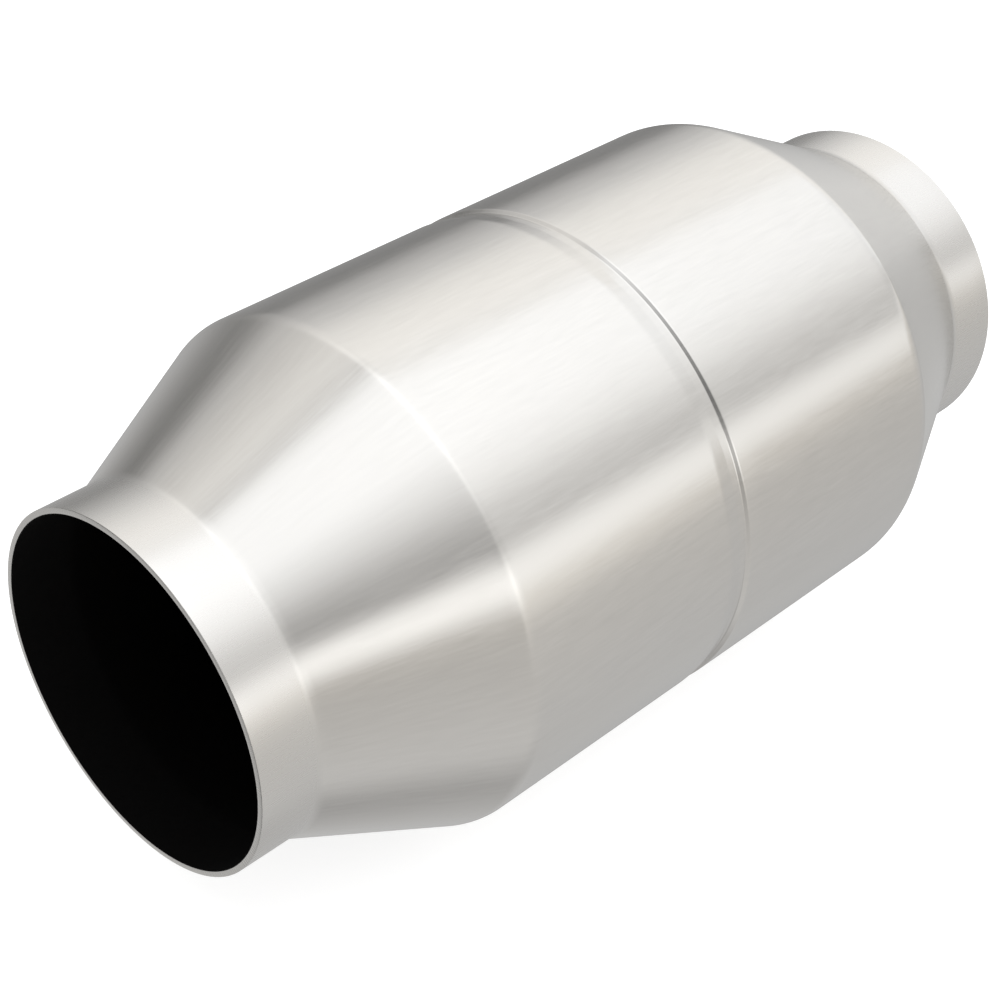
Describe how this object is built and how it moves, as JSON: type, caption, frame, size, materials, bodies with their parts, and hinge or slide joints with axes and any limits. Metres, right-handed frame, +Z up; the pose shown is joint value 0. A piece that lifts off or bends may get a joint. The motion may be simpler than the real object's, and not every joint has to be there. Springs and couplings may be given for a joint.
{
  "type": "catalytic converter",
  "caption": "Spun stainless catalytic converter: round body with a rolled mid-body bead, coned ends with plain necks, and mat-held ceramic honeycomb bricks inside.",
  "frame": {"origin": "centre of the inlet mouth, on the axis of the casing", "axes": "+X along the gas flow from inlet to outlet, +Z up, +Y completes the right-handed frame"},
  "size_m": [0.2286, 0.1154, 0.1155],
  "materials": {
    "spun_steel": "satin, with fine marks from spinning round the axis; matt black inside",
    "coated_ceramic": "matt, porous, washcoated",
    "fibre_mat": "matt, fibrous",
    "knitted_wire": "fine knitted wire, pressed"
  },
  "bodies": {
    "root": {"converter_shell": "spun_steel", "inlet_brick": "coated_ceramic", "outlet_brick": "coated_ceramic", "inlet_mat": "fibre_mat", "outlet_mat": "fibre_mat", "inlet_front_seal": "knitted_wire", "inlet_rear_seal": "knitted_wire", "outlet_front_seal": "knitted_wire", "outlet_rear_seal": "knitted_wire"}
  },
  "joints": []
}
